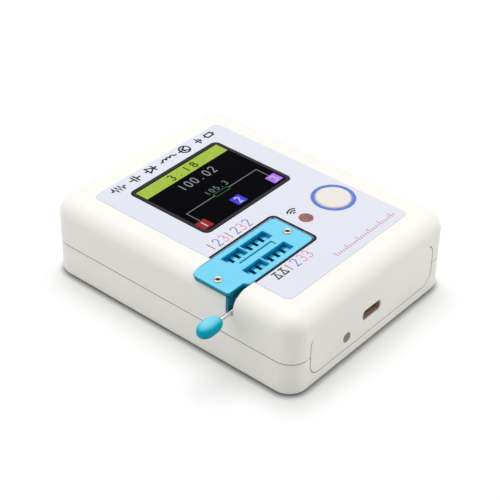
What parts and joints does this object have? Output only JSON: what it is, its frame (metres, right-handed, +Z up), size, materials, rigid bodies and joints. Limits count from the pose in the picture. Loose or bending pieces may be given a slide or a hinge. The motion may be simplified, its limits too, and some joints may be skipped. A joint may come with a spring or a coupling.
{
  "type": "component tester",
  "caption": "Handheld electronic component tester: flat two-part plastic case with a small display, lever-operated test socket, push button, infrared receiver and charging port.",
  "frame": {"origin": "middle of the case's underside, on the surface that it rests on", "axes": "+Z up out of the face, +Y towards the display's end of the case, -X towards the socket's lever"},
  "size_m": [0.0833, 0.09, 0.0254],
  "materials": {
    "case_plastic": "fine moulded satin",
    "face_film": "printed satin film",
    "window_clear": "smoked acrylic, black in use",
    "display_glass": "polished",
    "display_back": "moulded",
    "flex_film": "film",
    "board_green": "solder mask",
    "socket_blue": "moulded satin",
    "contact_brass": "plated",
    "rivet_metal": "rolled",
    "steel": "bright wire and sheet",
    "dark_plastic": "moulded",
    "lamp_grey": "diffused",
    "cell_foil": "foil pouch",
    "foam": "foam tape",
    "wire_skin": "insulation",
    "pale_plastic": "moulded",
    "ceramic": "fired"
  },
  "bodies": {
    "case": {"top_shell": "case_plastic", "bottom_shell": "case_plastic", "end_panel": "case_plastic", "face_overlay": "face_film", "display_window": "window_clear", "lcd_glass": "display_glass", "lcd_backlight": "display_back", "display_frame": "display_back", "lcd_ribbon": "flex_film", "main_board": "board_green", "zif_base": "socket_blue", "zif_cover": "socket_blue", "zif_contacts": "contact_brass", "zif_rivets": "rivet_metal", "case_screws": "steel", "usb_shell": "steel", "ir_leads": "steel", "charge_led_leads": "steel", "crystal_can": "steel", "switch_body": "dark_plastic", "ir_receiver": "dark_plastic", "usb_tongue": "dark_plastic", "processor_chip": "dark_plastic", "charger_chip": "dark_plastic", "boost_coil": "dark_plastic", "board_resistors": "dark_plastic", "charge_led": "lamp_grey", "battery_cell": "cell_foil", "battery_pad": "foam", "battery_leads": "wire_skin", "battery_plug": "pale_plastic", "battery_socket": "pale_plastic", "board_capacitors": "ceramic"},
    "lever": {"zif_lever": "steel", "zif_knob": "socket_blue"},
    "slider": {"zif_slider": "socket_blue"},
    "button": {"button_cap": "case_plastic", "switch_plunger": "dark_plastic"}
  },
  "joints": [
    {"name": "lever_swing", "type": "hinge", "parent": "case", "child": "lever", "pos_m": [-0.0308, -0.02295, 0.0191], "axis": [0, 1, 0], "range_deg": [0, 90]},
    {"name": "slider_shift", "type": "slide", "parent": "case", "child": "slider", "axis": [1, 0, 0], "range_m": [0, 0.00084853]},
    {"name": "button_press", "type": "slide", "parent": "case", "child": "button", "axis": [0, 0, -1], "range_m": [0, 0.0005], "stiffness_N_per_m": 1500, "springref_m": -0.0005}
  ],
  "couplings": [
    {"joint": "lever_swing", "follows": "slider_shift", "rad_per_m": 1851.1}
  ]
}
